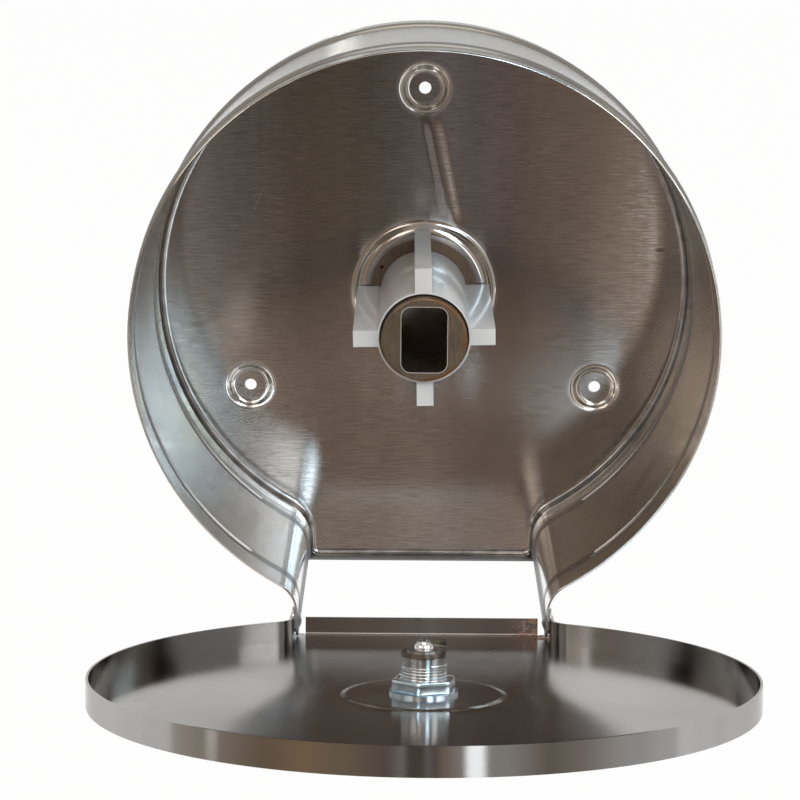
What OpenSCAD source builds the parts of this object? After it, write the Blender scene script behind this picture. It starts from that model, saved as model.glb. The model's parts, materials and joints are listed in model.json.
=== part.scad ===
// Jumbo toilet roll dispenser: a round stainless drum on the wall, with a hinged lid that is
// shown lowered. X is to the right, -Y faces the user, +Z is up, and the wall is the plane Y = 0.
// The origin is the middle of the three wall-screw holes, which is also the axis of the drum.

/* [Drum] */
// Outer radius of the round part of the drum
drum_r = 135; // [120:1:150]
// Distance from the wall to the front rim
drum_depth = 110; // [95:1:125]
// Thickness of the drum, back plate and lid sheet
sheet_t = 1; // [0.8:0.1:1.2]
// Outer width of the neck that the paper leaves by
neck_w = 120; // [105:1:130]
// Distance that the neck edges reach below the round of the drum
neck_drop = 10; // [9:0.5:16]
// Radius of the hollow blend between drum and neck
blend_r = 16; // [12:1:20]
// Inside radius of the folds in the sheet
fold_r = 0.8; // [0.6:0.1:1.2]

/* [Stiffening beads] */
// How far each bead stands out of the drum
bead_h = 1.4; // [1:0.1:1.8]
// Width of each bead
bead_w = 6; // [5:0.5:7]
// Distance from the front rim to the middle of the front bead
front_bead_at = 16; // [15:0.5:20]
// Distance from the back plate to the middle of the back bead
back_bead_at = 20; // [17:0.5:24]
// Angle from straight down at which the beads stop, short of the neck
bead_stop_deg = 38; // [36:1:60]

/* [Tear edge] */
// Distance from tooth to tooth along the neck edges
tooth_pitch = 5; // [4:0.5:7]
// Depth of the notches between teeth
tooth_h = 1.8; // [1.2:0.1:2.2]

/* [Back plate] */
// Depth of the flange that is turned forward round the back plate
plate_flange = 8; // [6:0.5:10]
// Diameter of the circle of wall-screw holes
wall_hole_circle_d = 204; // [196:1:208]
// Diameter of each wall-screw hole
wall_hole_d = 6; // [5:0.5:7]
// Diameter of the dished seat round each wall-screw hole
dish_d = 26; // [24:1:30]
// Diameter of the flat floor of each dished seat
dish_floor_d = 15.5; // [14:0.5:17]
// Depth of each dished seat, which holds the plate off the wall
dish_depth = 2.6; // [2:0.1:3]
// Diameter of the raised boss that carries the spindle
boss_d = 73; // [70:1:80]
// Height of that boss
boss_h = 3; // [2:0.1:4]
// Width of the curved slope round that boss
boss_slope = 7; // [5:0.5:7.5]

/* [Spindle] */
// Outer diameter of the hollow spindle
spindle_d = 40; // [38:0.5:42]
// Wall thickness of the spindle tube
spindle_wall = 1.2; // [1:0.1:1.5]
// Distance from the front rim back to the face of the spindle end plate
spindle_setback = 14; // [13.6:0.1:14.2]
// Thickness of the spindle end plate
end_plate_t = 1.2; // [1:0.1:1.3]
// Width of the upright slot that the lid lock enters
slot_w = 21.3; // [20.5:0.1:22]
// Height of that slot
slot_h = 31.2; // [30.5:0.1:33]
// Corner radius of that slot
slot_corner_r = 4.5; // [3:0.5:6]
// Diameter of the flange ring at the foot of the spindle
foot_ring_d = 54.4; // [53:0.2:58]
// Thickness of the flange ring
foot_ring_t = 1.5; // [1.2:0.1:2]

/* [Core adaptor] */
// Diameter over the four fins of the core adaptor
fin_tip_d = 66; // [58:1:72]
// Thickness of each fin
fin_t = 7.8; // [4:0.2:9]
// Wall thickness of the adaptor sleeve
sleeve_wall = 1.7; // [1.5:0.1:2.2]
// Distance from the spindle end back to the front of the adaptor
adaptor_setback = 4; // [3:0.5:8]
// Depth of the lead-in at the mouth of the sleeve
lead_in_depth = 5; // [3:0.5:8]
// Angle that the adaptor is turned by at rest
adaptor_angle = 1.3; // [-45:0.1:45]

/* [Lid] */
// Angle that the lid is lowered by, where 0 is shut and 90 is level
lid_angle = 75.5; // [60:0.5:90]
// Gap between the lid rim and the drum
lid_gap = 0.8; // [0.7:0.05:1]
// Depth of the lid rim, measured inside
lid_rim_h = 10; // [8:0.5:10.5]
// Height of the tab folded up from the lid between the neck walls
tab_h = 8; // [6:0.5:9]
// Outer diameter of the shallow pressing round the lock
lock_dish_d = 69; // [60:1:76]
// Depth of that pressing
lock_dish_h = 0.8; // [0.6:0.1:1]
// Width of the curved slope round that pressing
lock_dish_slope = 3.4; // [2.6:0.2:5]

/* [Hinge] */
// Distance from the hinge axis to the front and lower edges of the neck
hinge_inset = 7.2; // [6.8:0.1:7.6]
// Radius of the lid ears round the hinge rivets
ear_r = 6.8; // [5.5:0.1:7]
// Diameter of the hinge rivets
hinge_pin_d = 5; // [4:0.5:6]

/* [Lock] */
// Outer diameter of the thread on the lock barrel
lock_d = 18.6; // [18:0.1:19]
// Width across the two flats of the lock barrel
lock_flats = 16; // [15:0.5:17]
// Diameter of the lock head outside the lid
lock_head_d = 23; // [22:0.5:26]
// Width across the flats of the jam nut
nut_flats = 24; // [22:0.5:25]
// Thickness of the jam nut
nut_t = 5; // [4:0.5:6]
// Diameter of the turning plug
plug_d = 12; // [11:0.5:12.5]
// Distance from the lock axis to the tip of the cam
cam_reach = 13.8; // [13:0.1:14.4]
// Width of the cam tail
cam_tail_w = 6.6; // [6:0.2:7]
// Thickness of the cam
cam_t = 2; // [1.5:0.1:2.5]
// Height of the turned-up end of the cam tail
cam_hook_h = 3; // [2:0.2:4]
// Angle of the cam tail below level at rest, where 90 is straight down
cam_angle = 57; // [56:1:90]
// Diameter of the domed screw head
screw_head_d = 8; // [7:0.5:9]

/* [Hidden] */
$fn = 128;
eps = 0.01;
// Clearance of parts that turn on one another, and of parts fixed in a hole
run_gap = 0.05;
fix_gap = 0.02;
// Clearance between the shut lid and the front rim
seat_gap = 0.4;

neck_x = neck_w / 2;
fold_out_r = fold_r + sheet_t;
pressing_lap = 0.5;
rim_y = -drum_depth;
plate_back_y = -dish_depth;
plate_front_y = plate_back_y - sheet_t;
boss_y = plate_front_y - boss_h;
plate_grow = -sheet_t - fix_gap;
neck_bottom_z = -drum_r - neck_drop;
plate_bottom_z = neck_bottom_z + sheet_t;
bead_crown_r = (pow(bead_w / 2, 2) + pow(bead_h, 2)) / (2 * bead_h);
bead_path_r = drum_r + bead_h - bead_crown_r;
// The blend circles touch the drum circle and the straight neck sides
blend_x = neck_x + blend_r;
blend_z = -sqrt(pow(drum_r + blend_r, 2) - pow(blend_x, 2));

hinge_y = rim_y + hinge_inset;
hinge_z = neck_bottom_z + hinge_inset;
washer_d = 11;
rivet_head_r = 4.4;
rivet_head_h = 1.5;

lid_in_y = rim_y - seat_gap;
lid_out_y = lid_in_y - sheet_t;
lid_grow = lid_gap + sheet_t;
lid_bottom_z = neck_bottom_z - 1.2;
tab_side_gap = 3;
tab_relief_w = 0.8;
lid_seat_y = lid_in_y + lock_dish_h;
ear_root_h = 5;

spindle_r = spindle_d / 2;
end_front_y = rim_y + spindle_setback;
end_back_y = end_front_y + end_plate_t;
foot_y = boss_y - foot_ring_t;
adaptor_front_y = end_front_y + adaptor_setback;
adaptor_back_y = foot_y - 0.3;
sleeve_in_r = spindle_r + run_gap;
sleeve_out_r = sleeve_in_r + sleeve_wall;

cam_front_y = end_back_y + 0.6;
cam_back_y = cam_front_y + cam_t;
barrel_end_y = cam_front_y - 0.1;
lock_head_t = 2;
lock_head_edge = 0.8;
lock_face_y = lid_seat_y - sheet_t - lock_head_t;
plug_r = plug_d / 2;
plug_head_r = plug_r + 1;
plug_face_y = lock_face_y + 0.3;
plug_head_t = 1.4;
tang = 7;
washer_t = 1.2;
nut_front_y = lid_seat_y + washer_t;
cam_washer_d = 14.3;
cam_washer_t = 1;
screw_r = 2.5;
screw_head_h = 3.8;
screw_len = 6.2;
wafer_count = 5;
wafer_pitch = 1.7;
wafer_t = 0.9;
wafer_x = 2.5;
wafer_z = plug_r - 0.75;
wafer_first_y = plug_face_y + plug_head_t + 1.2;
spring_x = 3.55;
spring_r = 0.4;
spring_wire_r = 0.11;
spring_low_z = -3.6;
spring_high_z = 0.4;

// A flat shape drawn in X and Z, made solid from one depth to another
module slab(front_y, back_y) {
    translate([0, back_y, 0])
        rotate([90, 0, 0])
            linear_extrude(back_y - front_y)
                children();
}

// A flat shape drawn in Y and Z, made solid along X
module across(from_x, to_x) {
    translate([from_x, 0, 0])
        rotate([90, 0, 90])
            linear_extrude(to_x - from_x)
                children();
}

// A straight or tapered round bar along +Y, from one depth to another
module bar(front_y, back_y, front_r, back_r) {
    translate([0, front_y, 0])
        rotate([-90, 0, 0])
            cylinder(h = back_y - front_y, r1 = front_r, r2 = back_r);
}

// The keyhole outline of the drum, grown outwards by a distance and cut off at a lower edge
module outline(grow, bottom_z) {
    side_x = neck_x + grow;
    circle(r = drum_r + grow);
    difference() {
        polygon([
            [0, 0], [blend_x, blend_z], [side_x, blend_z], [side_x, bottom_z],
            [-side_x, bottom_z], [-side_x, blend_z], [-blend_x, blend_z]
        ]);
        for (side = [-1, 1])
            translate([side * blend_x, blend_z])
                circle(r = blend_r - grow);
    }
}

// The same outline as a band of sheet between two distances, open at the lower edge
module outline_band(grow_in, grow_out, bottom_z) {
    difference() {
        circle(r = drum_r + grow_out);
        circle(r = drum_r + grow_in);
        polygon([[0, 0], [2 * blend_x, 2 * blend_z], [-2 * blend_x, 2 * blend_z]]);
    }
    for (side = [-1, 1]) {
        intersection() {
            translate([side * blend_x, blend_z])
                difference() {
                    circle(r = blend_r - grow_in);
                    circle(r = blend_r - grow_out);
                }
            polygon([[0, 0], [side * blend_x, blend_z], [0, blend_z]]);
        }
        translate([side > 0 ? neck_x + grow_in : -neck_x - grow_out, bottom_z])
            square([grow_out - grow_in, blend_z - bottom_z]);
    }
}

// The section of a sheet folded through a right angle: the wall stands up to a height with its
// outer side at X = 0, and the fold starts from the flat sheet one outside radius before that
module folded_section(height, thickness, inner_r) {
    outer_r = inner_r + thickness;
    translate([-thickness, outer_r])
        square([thickness, height - outer_r]);
    intersection() {
        translate([-outer_r, outer_r])
            difference() {
                circle(r = outer_r);
                circle(r = inner_r);
            }
        translate([-outer_r, 0])
            square([outer_r, outer_r]);
    }
}

// The section of a round pressing, drawn as radius and height above the sheet it rises from:
// two arcs of sheet that meet halfway up, the flat top and a strip of the sheet at the foot
module pressing_section(foot_r, slope, height) {
    // Rounded, so that both arcs end on the same line
    arc_r = round(1e4 * (slope * slope + height * height) / (4 * height)) / 1e4;
    top_r = foot_r - slope;
    lean = [slope, 2 * arc_r - height];
    square_up = [0, 2 * arc_r];
    translate([foot_r, arc_r])
        intersection() {
            difference() {
                circle(r = arc_r);
                circle(r = arc_r - sheet_t);
            }
            polygon([[0, 0], -lean, -square_up]);
        }
    translate([top_r, height - arc_r])
        intersection() {
            difference() {
                circle(r = arc_r + sheet_t);
                circle(r = arc_r);
            }
            polygon([[0, 0], square_up + [0, sheet_t], 2 * lean]);
        }
    translate([0, height])
        square([top_r + eps, sheet_t]);
    translate([foot_r - eps, 0])
        square([2 * pressing_lap, sheet_t]);
}

// A round pressing that rises along +Y from the sheet whose face is at the given depth
module pressing(face_y, foot_r, slope, height) {
    translate([0, face_y, 0])
        rotate([-90, 0, 0])
            rotate_extrude()
                pressing_section(foot_r, slope, height);
}

// The hole that a pressing fills in the flat sheet, inside the strip at its foot
module pressing_room(face_y, foot_r) {
    bar(face_y - eps, face_y + sheet_t + eps, foot_r + pressing_lap, foot_r + pressing_lap);
}

// A bead's round section between two distances from the drum axis, swept round the drum
module bead(section_r, y, from_r, to_r) {
    translate([0, y, 0])
        rotate([90, 0, 0]) {
            rotate([0, 0, bead_stop_deg - 90])
                rotate_extrude(angle = 360 - 2 * bead_stop_deg)
                    intersection() {
                        translate([bead_path_r, 0])
                            circle(r = section_r);
                        translate([from_r, -bead_w])
                            square([to_r - from_r, 2 * bead_w]);
                    }
            for (side = [-1, 1])
                rotate([0, 0, side * bead_stop_deg - 90])
                    rotate([0, 90, 0])
                        rotate([0, 0, side * 90])
                            rotate_extrude(angle = 180)
                                intersection() {
                                    translate([0, bead_path_r])
                                        circle(r = section_r);
                                    translate([0, from_r])
                                        square([2 * bead_w, to_r - from_r]);
                                }
        }
}

// Both beads, with the round section made smaller for the hollow inside
module beads(thinner, from_r) {
    for (y = [rim_y + front_bead_at, plate_back_y - back_bead_at])
        bead(bead_crown_r - thinner, y, from_r, drum_r + 2 * bead_h);
}

// Places its children at the three wall-screw holes
module at_wall_holes() {
    for (angle = [90, 210, 330])
        translate([cos(angle) * wall_hole_circle_d / 2, 0, sin(angle) * wall_hole_circle_d / 2])
            children();
}

// Turns a piece of the shut lid about the hinge into its lowered place
module lowered() {
    translate([0, hinge_y, hinge_z])
        rotate([lid_angle, 0, 0])
            translate([0, -hinge_y, -hinge_z])
                children();
}

// Turns a piece of the lock about the lock axis to its place at rest
module cam_turned() {
    rotate([0, cam_angle, 0])
        children();
}

// A rectangle with round corners, centred on the origin
module round_rect(width, height, corner_r) {
    square([width - 2 * corner_r, height], center = true);
    square([width, height - 2 * corner_r], center = true);
    for (side = [-1, 1], end = [-1, 1])
        translate([side * (width / 2 - corner_r), end * (height / 2 - corner_r)])
            circle(r = corner_r, $fn = 48);
}

module back_plate() {
    color([0.44, 0.42, 0.40])
        difference() {
            union() {
                difference() {
                    slab(plate_front_y, plate_back_y)
                        outline(plate_grow - sheet_t, plate_bottom_z + sheet_t);
                    at_wall_holes()
                        pressing_room(plate_front_y, dish_d / 2);
                    pressing_room(plate_front_y, boss_d / 2);
                }
                at_wall_holes()
                    pressing(plate_front_y, dish_d / 2, (dish_d - dish_floor_d) / 2, dish_depth);
                translate([0, plate_back_y, 0])
                    mirror([0, 1, 0])
                        pressing(0, boss_d / 2, boss_slope, boss_h);
            }
            at_wall_holes()
                bar(-sheet_t - eps, eps, wall_hole_d / 2, wall_hole_d / 2);
        }
}

// The flange round the back plate, and the lip across its lower edge
module plate_rim() {
    color([0.46, 0.44, 0.42])
        slab(plate_back_y - plate_flange, plate_back_y) {
            outline_band(plate_grow - sheet_t, plate_grow, plate_bottom_z);
            translate([-neck_x - plate_grow, plate_bottom_z])
                square([2 * (neck_x + plate_grow), sheet_t]);
        }
}

// The notches of both tear edges, drawn in Y and Z
module tooth_notches() {
    first_y = hinge_y + 2;
    last_y = plate_back_y - plate_flange - tooth_pitch;
    count = floor((last_y - first_y) / tooth_pitch);
    for (i = [0:count - 1])
        translate([first_y + (i + 0.5) * tooth_pitch, neck_bottom_z])
            polygon([
                [-tooth_pitch / 2 + 0.3, -eps], [0, tooth_h], [tooth_pitch / 2 - 0.3, -eps]
            ]);
}

// The square front corner of the neck outside its round edge, drawn in Y and Z
module neck_corner_waste() {
    difference() {
        translate([rim_y - 1, neck_bottom_z - 1])
            square([hinge_inset + 1, hinge_inset + 1]);
        translate([hinge_y, hinge_z])
            circle(r = hinge_inset);
    }
}

module drum_wall() {
    color([0.66, 0.67, 0.68])
        difference() {
            union() {
                slab(rim_y, plate_back_y)
                    outline_band(-sheet_t, 0, neck_bottom_z);
                beads(0, drum_r - sheet_t / 2);
            }
            beads(sheet_t, drum_r - 2 * sheet_t);
            across(-neck_x - 1, neck_x + 1) {
                tooth_notches();
                neck_corner_waste();
            }
            hinge_bar(neck_x + 1, hinge_pin_d / 2 + fix_gap);
        }
}

// A bar on the hinge axis that reaches equally far to both sides
module hinge_bar(half_length, bar_r) {
    translate([-half_length, hinge_y, hinge_z])
        rotate([0, 90, 0])
            cylinder(h = 2 * half_length, r = bar_r);
}

module spindle_foot_ring() {
    color([0.40, 0.34, 0.28])
        difference() {
            bar(foot_y, boss_y, foot_ring_d / 2, foot_ring_d / 2);
            bar(foot_y - eps, boss_y + eps, spindle_r + fix_gap, spindle_r + fix_gap);
        }
}

module spindle_tube() {
    bore_r = spindle_r - spindle_wall;
    color([0.58, 0.58, 0.58])
        difference() {
            bar(end_back_y, boss_y, spindle_r, spindle_r);
            bar(end_back_y - eps, boss_y + eps, bore_r, bore_r);
        }
}

module spindle_end_plate() {
    edge_r = 1;
    color([0.62, 0.58, 0.52])
        difference() {
            translate([0, end_back_y, 0])
                rotate([90, 0, 0])
                    rotate_extrude() {
                        square([spindle_r - edge_r, end_plate_t]);
                        square([spindle_r, end_plate_t - edge_r]);
                        intersection() {
                            translate([spindle_r - edge_r, end_plate_t - edge_r])
                                circle(r = edge_r, $fn = 48);
                            square([spindle_r, end_plate_t]);
                        }
                    }
            slab(end_front_y - eps, end_back_y + eps)
                round_rect(slot_w, slot_h, slot_corner_r);
        }
}

module core_adaptor() {
    color([0.86, 0.87, 0.88])
        difference() {
            union() {
                bar(adaptor_front_y, adaptor_back_y, sleeve_out_r, sleeve_out_r);
                slab(adaptor_front_y, adaptor_back_y)
                    for (angle = [0:90:270])
                        rotate(angle + adaptor_angle)
                            translate([sleeve_in_r + sleeve_wall / 2, -fin_t / 2])
                                square([fin_tip_d / 2 - sleeve_in_r - sleeve_wall / 2, fin_t]);
            }
            bar(adaptor_front_y - eps, adaptor_back_y + eps, sleeve_in_r, sleeve_in_r);
            bar(adaptor_front_y - eps, adaptor_front_y + lead_in_depth, sleeve_in_r + 0.9,
                sleeve_in_r);
        }
}

// A rivet for the right side: shank through ear, washer and neck wall, with a head each end
module hinge_rivet() {
    inner_x = neck_x - sheet_t;
    outer_x = neck_x + lid_gap + sheet_t + run_gap;
    translate([0, hinge_y, hinge_z])
        rotate([0, 90, 0]) {
            translate([0, 0, inner_x])
                cylinder(h = outer_x - inner_x, r = hinge_pin_d / 2);
            translate([0, 0, outer_x])
                dome(rivet_head_r, rivet_head_h);
            translate([0, 0, inner_x])
                mirror([0, 0, 1])
                    dome(rivet_head_r - 0.4, rivet_head_h);
        }
}

// A shallow dome standing on Z = 0
module dome(base_r, height) {
    ball_r = (base_r * base_r + height * height) / (2 * height);
    intersection() {
        translate([0, 0, height - ball_r])
            sphere(r = ball_r);
        cylinder(h = height + 1, r = base_r);
    }
}

module hinge_washer() {
    gap = 0.04;
    translate([neck_x + gap, hinge_y, hinge_z])
        rotate([0, 90, 0])
            difference() {
                cylinder(h = lid_gap - 2 * gap, d = washer_d);
                translate([0, 0, -eps])
                    cylinder(h = lid_gap + 1, r = hinge_pin_d / 2 + run_gap);
            }
}

module hinge_rivet_left() {
    color([0.72, 0.74, 0.76])
        mirror([1, 0, 0])
            hinge_rivet();
}

module hinge_rivet_right() {
    color([0.72, 0.74, 0.76])
        hinge_rivet();
}

module hinge_washer_left() {
    color([0.60, 0.60, 0.62])
        mirror([1, 0, 0])
            hinge_washer();
}

module hinge_washer_right() {
    color([0.60, 0.60, 0.62])
        hinge_washer();
}

// The lid without its rim: the flat sheet, the tab folded up between the neck walls and the
// pressing round the lock
module lid_shell() {
    tab_x = neck_x - sheet_t - tab_side_gap;
    relief_x = tab_x + tab_relief_w;
    dish_r = lock_dish_d / 2;
    color([0.55, 0.55, 0.55])
        lowered()
            difference() {
                union() {
                    difference() {
                        slab(lid_out_y, lid_in_y)
                            outline(lid_gap, lid_bottom_z);
                        pressing_room(lid_out_y, dish_r);
                        translate([-relief_x, lid_out_y - eps, lid_bottom_z - eps])
                            cube([2 * relief_x, sheet_t + 2 * eps, fold_out_r + eps]);
                    }
                    across(-tab_x, tab_x)
                        translate([lid_out_y, lid_bottom_z])
                            rotate(-90)
                                folded_section(tab_h + sheet_t, sheet_t, fold_r);
                    pressing(lid_out_y, dish_r, lock_dish_slope, lock_dish_h);
                }
                slab(lid_out_y - eps, lid_seat_y + eps)
                    lock_section(lock_d / 2 + 0.1, lock_flats / 2 + 0.1);
            }
}

// The side view of a lid ear and its root along the edge of the lid, drawn in Y and Z
module ear_profile() {
    translate([hinge_y, hinge_z])
        circle(r = ear_r);
    translate([lid_out_y, hinge_z - ear_r])
        square([hinge_y - lid_out_y, 2 * ear_r]);
    translate([lid_out_y, lid_bottom_z])
        square([ear_root_h, hinge_z - lid_bottom_z]);
}

// The turned-up rim of the lid, with an ear at each end for the hinge rivets
module lid_rim() {
    ear_x = neck_x + lid_gap;
    color([0.60, 0.60, 0.60])
        lowered()
            difference() {
                union() {
                    slab(lid_out_y, lid_in_y + lid_rim_h)
                        outline_band(lid_gap, lid_grow, hinge_z);
                    for (side = [0, 1])
                        mirror([side, 0, 0])
                            across(ear_x, ear_x + sheet_t)
                                ear_profile();
                }
                hinge_bar(ear_x + sheet_t + 1, hinge_pin_d / 2 + run_gap);
            }
}

// The round section of the lock barrel with its two flats
module lock_section(round_r, flat_z) {
    intersection() {
        circle(r = round_r);
        square([2 * round_r, 2 * flat_z], center = true);
    }
}

module lock_barrel() {
    head_back_y = lock_face_y + lock_head_t;
    color([0.72, 0.75, 0.78])
        lowered()
            difference() {
                union() {
                    bar(lock_face_y, lock_face_y + lock_head_edge,
                        lock_head_d / 2 - lock_head_edge, lock_head_d / 2);
                    bar(lock_face_y + lock_head_edge, head_back_y, lock_head_d / 2,
                        lock_head_d / 2);
                    slab(head_back_y - eps, barrel_end_y)
                        lock_section(lock_d / 2, lock_flats / 2);
                }
                bar(lock_face_y - eps, barrel_end_y + eps, plug_r + run_gap, plug_r + run_gap);
                bar(lock_face_y - eps, plug_face_y + plug_head_t + run_gap,
                    plug_head_r + run_gap, plug_head_r + run_gap);
            }
}

module lock_washer() {
    color([0.70, 0.74, 0.78])
        lowered()
            difference() {
                bar(lid_seat_y, nut_front_y, nut_flats / 2 + 2.2, nut_flats / 2 + 2.2);
                bar(lid_seat_y - eps, nut_front_y + eps, lock_d / 2 + fix_gap,
                    lock_d / 2 + fix_gap);
            }
}

module lock_nut() {
    corner_r = nut_flats / 2 / cos(30);
    color([0.72, 0.77, 0.82])
        lowered()
            difference() {
                intersection() {
                    slab(nut_front_y, nut_front_y + nut_t)
                        circle(r = corner_r, $fn = 6);
                    bar(nut_front_y, nut_front_y + nut_t, corner_r + 1.6, corner_r - 0.7);
                }
                bar(nut_front_y - eps, nut_front_y + nut_t + eps, lock_d / 2 + fix_gap,
                    lock_d / 2 + fix_gap);
            }
}

// Places its children at each wafer along the lock axis
module at_wafers() {
    for (i = [0:wafer_count - 1])
        translate([0, wafer_first_y + i * wafer_pitch, 0])
            children();
}

module lock_plug() {
    head_back_y = plug_face_y + plug_head_t;
    keyway_depth = 1.2 + wafer_count * wafer_pitch;
    slot_play = 0.05;
    color([0.66, 0.60, 0.42])
        lowered()
            cam_turned()
                difference() {
                    union() {
                        bar(plug_face_y, head_back_y, plug_head_r, plug_head_r);
                        bar(head_back_y - eps, cam_front_y, plug_r, plug_r);
                        slab(cam_front_y - eps, cam_back_y - fix_gap)
                            square([tang, tang], center = true);
                    }
                    slab(plug_face_y - eps, plug_face_y + keyway_depth)
                        square([1.6, 7.6], center = true);
                    at_wafers()
                        slab(-slot_play, wafer_t + slot_play) {
                            square([2 * wafer_x + 2 * slot_play, plug_d + 1], center = true);
                            translate([wafer_x - 1, spring_low_z])
                                square([spring_x + spring_r + 0.2 - wafer_x + 1,
                                    plug_r - spring_low_z - 3.6]);
                        }
                    bar(cam_back_y - screw_len, cam_back_y + eps, screw_r + fix_gap,
                        screw_r + fix_gap);
                }
}

module lock_wafers() {
    color([0.78, 0.66, 0.36])
        lowered()
            cam_turned()
                for (i = [0:wafer_count - 1])
                    translate([0, wafer_first_y + i * wafer_pitch, 0])
                        slab(0, wafer_t)
                            difference() {
                                union() {
                                    square([2 * wafer_x, 2 * wafer_z], center = true);
                                    translate([wafer_x - eps, spring_high_z])
                                        square([spring_x + spring_r - wafer_x, 0.8]);
                                }
                                translate([-1.2, -2.6 + 0.25 * (i % 3)])
                                    square([2.4, 5]);
                            }
}

// One coil spring standing on Z = 0, as a round wire that follows a helix
module coil_spring(coil_r, wire_r, height, turns) {
    steps_per_turn = 8;
    sides = 5;
    steps = turns * steps_per_turn;
    rise = height - 2 * wire_r;
    wire_points = [
        for (i = [0:steps], j = [0:sides - 1])
            let (
                turn_deg = 360 * i / steps_per_turn,
                side_deg = 360 * j / sides,
                away = coil_r + wire_r * cos(side_deg)
            )
            [away * cos(turn_deg), away * sin(turn_deg),
                wire_r + rise * i / steps + wire_r * sin(side_deg)]
    ];
    wire_faces = [
        for (i = [0:steps - 1], j = [0:sides - 1], half = [0, 1])
            half == 0
                ? [i * sides + j, i * sides + (j + 1) % sides, (i + 1) * sides + j]
                : [i * sides + (j + 1) % sides, (i + 1) * sides + (j + 1) % sides,
                    (i + 1) * sides + j]
    ];
    start_face = [for (j = [sides - 1:-1:0]) j];
    end_face = [for (j = [0:sides - 1]) steps * sides + j];
    polyhedron(points = wire_points, faces = concat(wire_faces, [start_face, end_face]));
}

module wafer_springs() {
    color([0.80, 0.80, 0.82])
        lowered()
            cam_turned()
                at_wafers()
                    translate([spring_x - 0.3, wafer_t / 2, spring_low_z])
                        coil_spring(spring_r - spring_wire_r, spring_wire_r,
                            spring_high_z - spring_low_z, 4);
}

// The cam plate on the square end of the plug, with a tail that ends in a turned-up hook
module lock_cam() {
    tip_r = cam_tail_w / 2;
    hook_fold_r = 0.6;
    flat_reach = cam_reach - cam_t - hook_fold_r;
    color([0.42, 0.38, 0.32])
        lowered()
            cam_turned()
                difference() {
                    union() {
                        bar(cam_front_y, cam_back_y, lock_d / 2, lock_d / 2);
                        translate([0, cam_front_y, -tip_r])
                            cube([flat_reach, cam_t, cam_tail_w]);
                        intersection() {
                            translate([cam_reach, cam_front_y, -tip_r])
                                linear_extrude(cam_tail_w)
                                    folded_section(cam_t + cam_hook_h, cam_t, hook_fold_r);
                            bar(cam_front_y, cam_back_y + cam_hook_h, cam_reach, cam_reach);
                        }
                    }
                    slab(cam_front_y - eps, cam_back_y + eps)
                        square([tang + 2 * run_gap, tang + 2 * run_gap], center = true);
                }
}

module cam_washer() {
    back_y = cam_back_y + cam_washer_t;
    color([0.74, 0.76, 0.78])
        lowered()
            difference() {
                bar(cam_back_y, back_y, cam_washer_d / 2, cam_washer_d / 2);
                bar(cam_back_y - eps, back_y + eps, screw_r + run_gap, screw_r + run_gap);
            }
}

module cam_screw() {
    head_y = cam_back_y + cam_washer_t;
    shank_y = cam_back_y - screw_len + 0.5;
    color([0.80, 0.81, 0.83])
        lowered()
            difference() {
                union() {
                    bar(shank_y, head_y + eps, screw_r, screw_r);
                    translate([0, head_y, 0])
                        rotate([-90, 0, 0])
                            dome(screw_head_d / 2, screw_head_h);
                }
                slab(head_y + 1.6, head_y + screw_head_h + 1) {
                    square([4.4, 0.9], center = true);
                    square([0.9, 4.4], center = true);
                }
            }
}

back_plate();
plate_rim();
drum_wall();
spindle_foot_ring();
spindle_tube();
spindle_end_plate();
core_adaptor();
hinge_rivet_left();
hinge_rivet_right();
hinge_washer_left();
hinge_washer_right();
lid_shell();
lid_rim();
lock_barrel();
lock_washer();
lock_nut();
lock_plug();
lock_wafers();
wafer_springs();
lock_cam();
cam_washer();
cam_screw();
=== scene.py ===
import json
import math
import bmesh
import bpy
from mathutils import Matrix, Vector


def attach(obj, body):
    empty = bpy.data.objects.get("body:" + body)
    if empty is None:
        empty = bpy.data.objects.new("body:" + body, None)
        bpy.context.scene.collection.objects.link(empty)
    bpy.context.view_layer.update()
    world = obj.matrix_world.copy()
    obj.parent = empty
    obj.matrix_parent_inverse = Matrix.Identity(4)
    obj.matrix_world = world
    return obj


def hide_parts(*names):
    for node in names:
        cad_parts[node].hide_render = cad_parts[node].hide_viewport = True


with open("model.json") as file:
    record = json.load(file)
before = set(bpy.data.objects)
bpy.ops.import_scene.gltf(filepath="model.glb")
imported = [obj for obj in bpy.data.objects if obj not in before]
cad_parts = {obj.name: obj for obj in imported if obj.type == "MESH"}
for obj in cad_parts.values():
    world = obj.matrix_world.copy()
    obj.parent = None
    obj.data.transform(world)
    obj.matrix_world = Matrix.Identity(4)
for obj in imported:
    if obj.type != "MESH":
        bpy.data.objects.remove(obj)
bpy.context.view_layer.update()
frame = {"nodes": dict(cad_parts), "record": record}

nodes = frame["nodes"]
record = frame["record"]
scene = bpy.context.scene

# the camera stands where the photograph was taken from: above the drum axis, looking down
cameraView = {
    "focalPixels": 1985.4,
    "imagePixels": 800,
    "centrePixels": (405.25, 403.46),
    "place": (-0.006736, -0.977437, 0.249119),
    "pitch": 0.3073,
    "yaw": -0.0021,
    "roll": 0.0065,
    "sensorWidth": 36,  # millimetres
    "reach": 20,  # metres
}

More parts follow.
